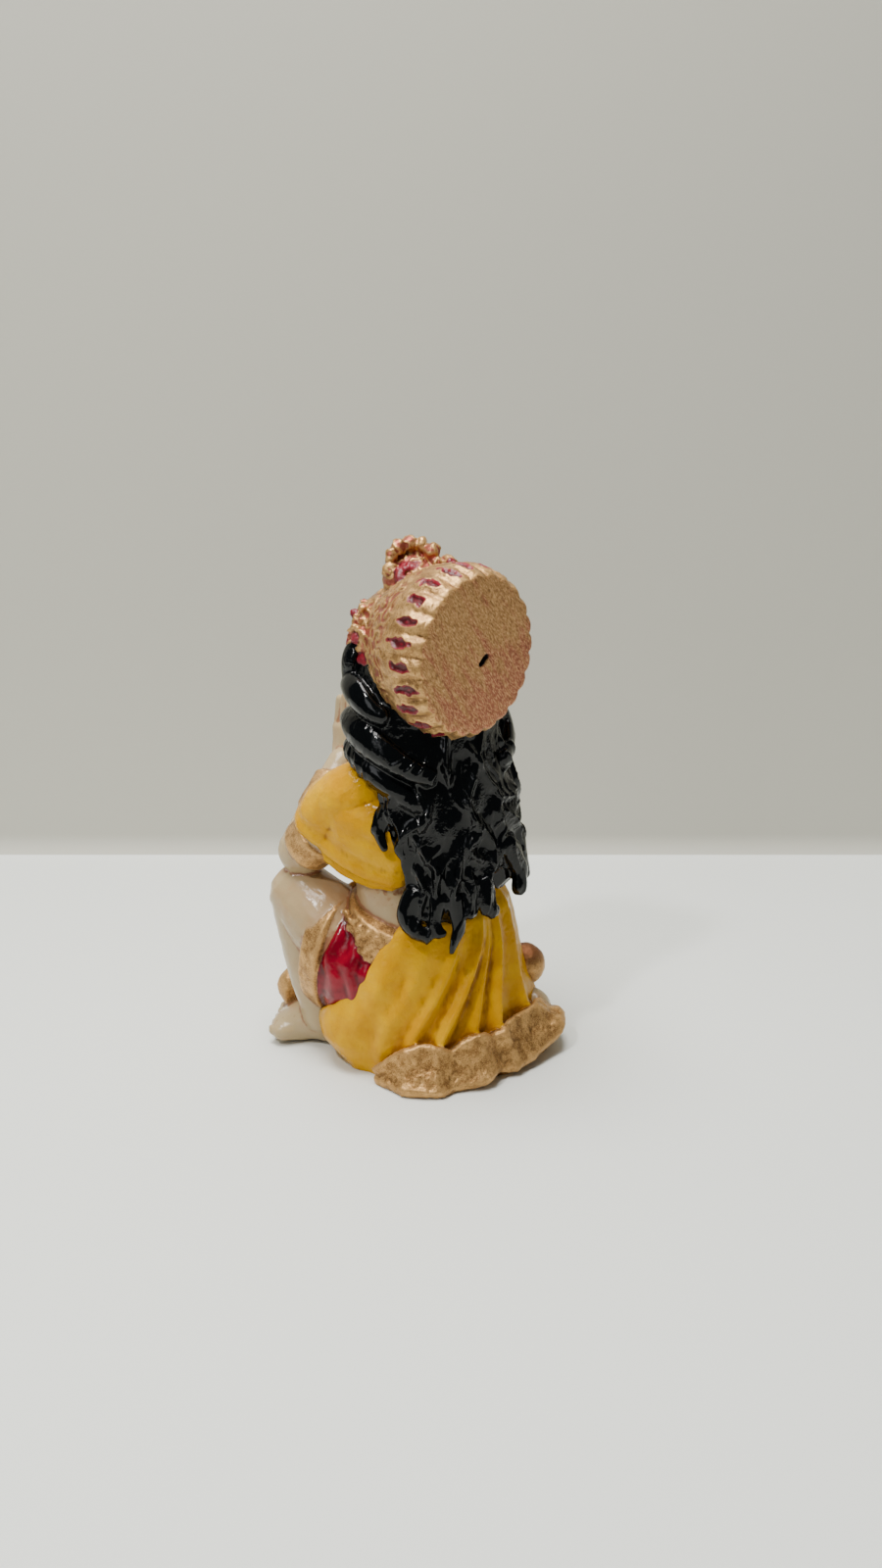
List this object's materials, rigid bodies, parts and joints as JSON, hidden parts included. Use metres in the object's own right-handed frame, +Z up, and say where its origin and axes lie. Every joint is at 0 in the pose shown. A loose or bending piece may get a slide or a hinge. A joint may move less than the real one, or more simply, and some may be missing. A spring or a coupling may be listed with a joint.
{
  "type": "hanuman statue",
  "caption": "Small painted cast figurine of Hanuman kneeling on one knee with joined hands, long wavy hair, a fluted crown and a pleated mantle.",
  "frame": {"origin": "on the flat underside, below the middle of the casting's bounding box", "axes": "+Z up, the figure looks along -Y and its left side is +X"},
  "size_m": [0.0476, 0.0491, 0.0981],
  "materials": {
    "painted_casting": "glossy hand-painted casting"
  },
  "bodies": {
    "root": {"hanuman_figure": "painted_casting"}
  },
  "joints": []
}
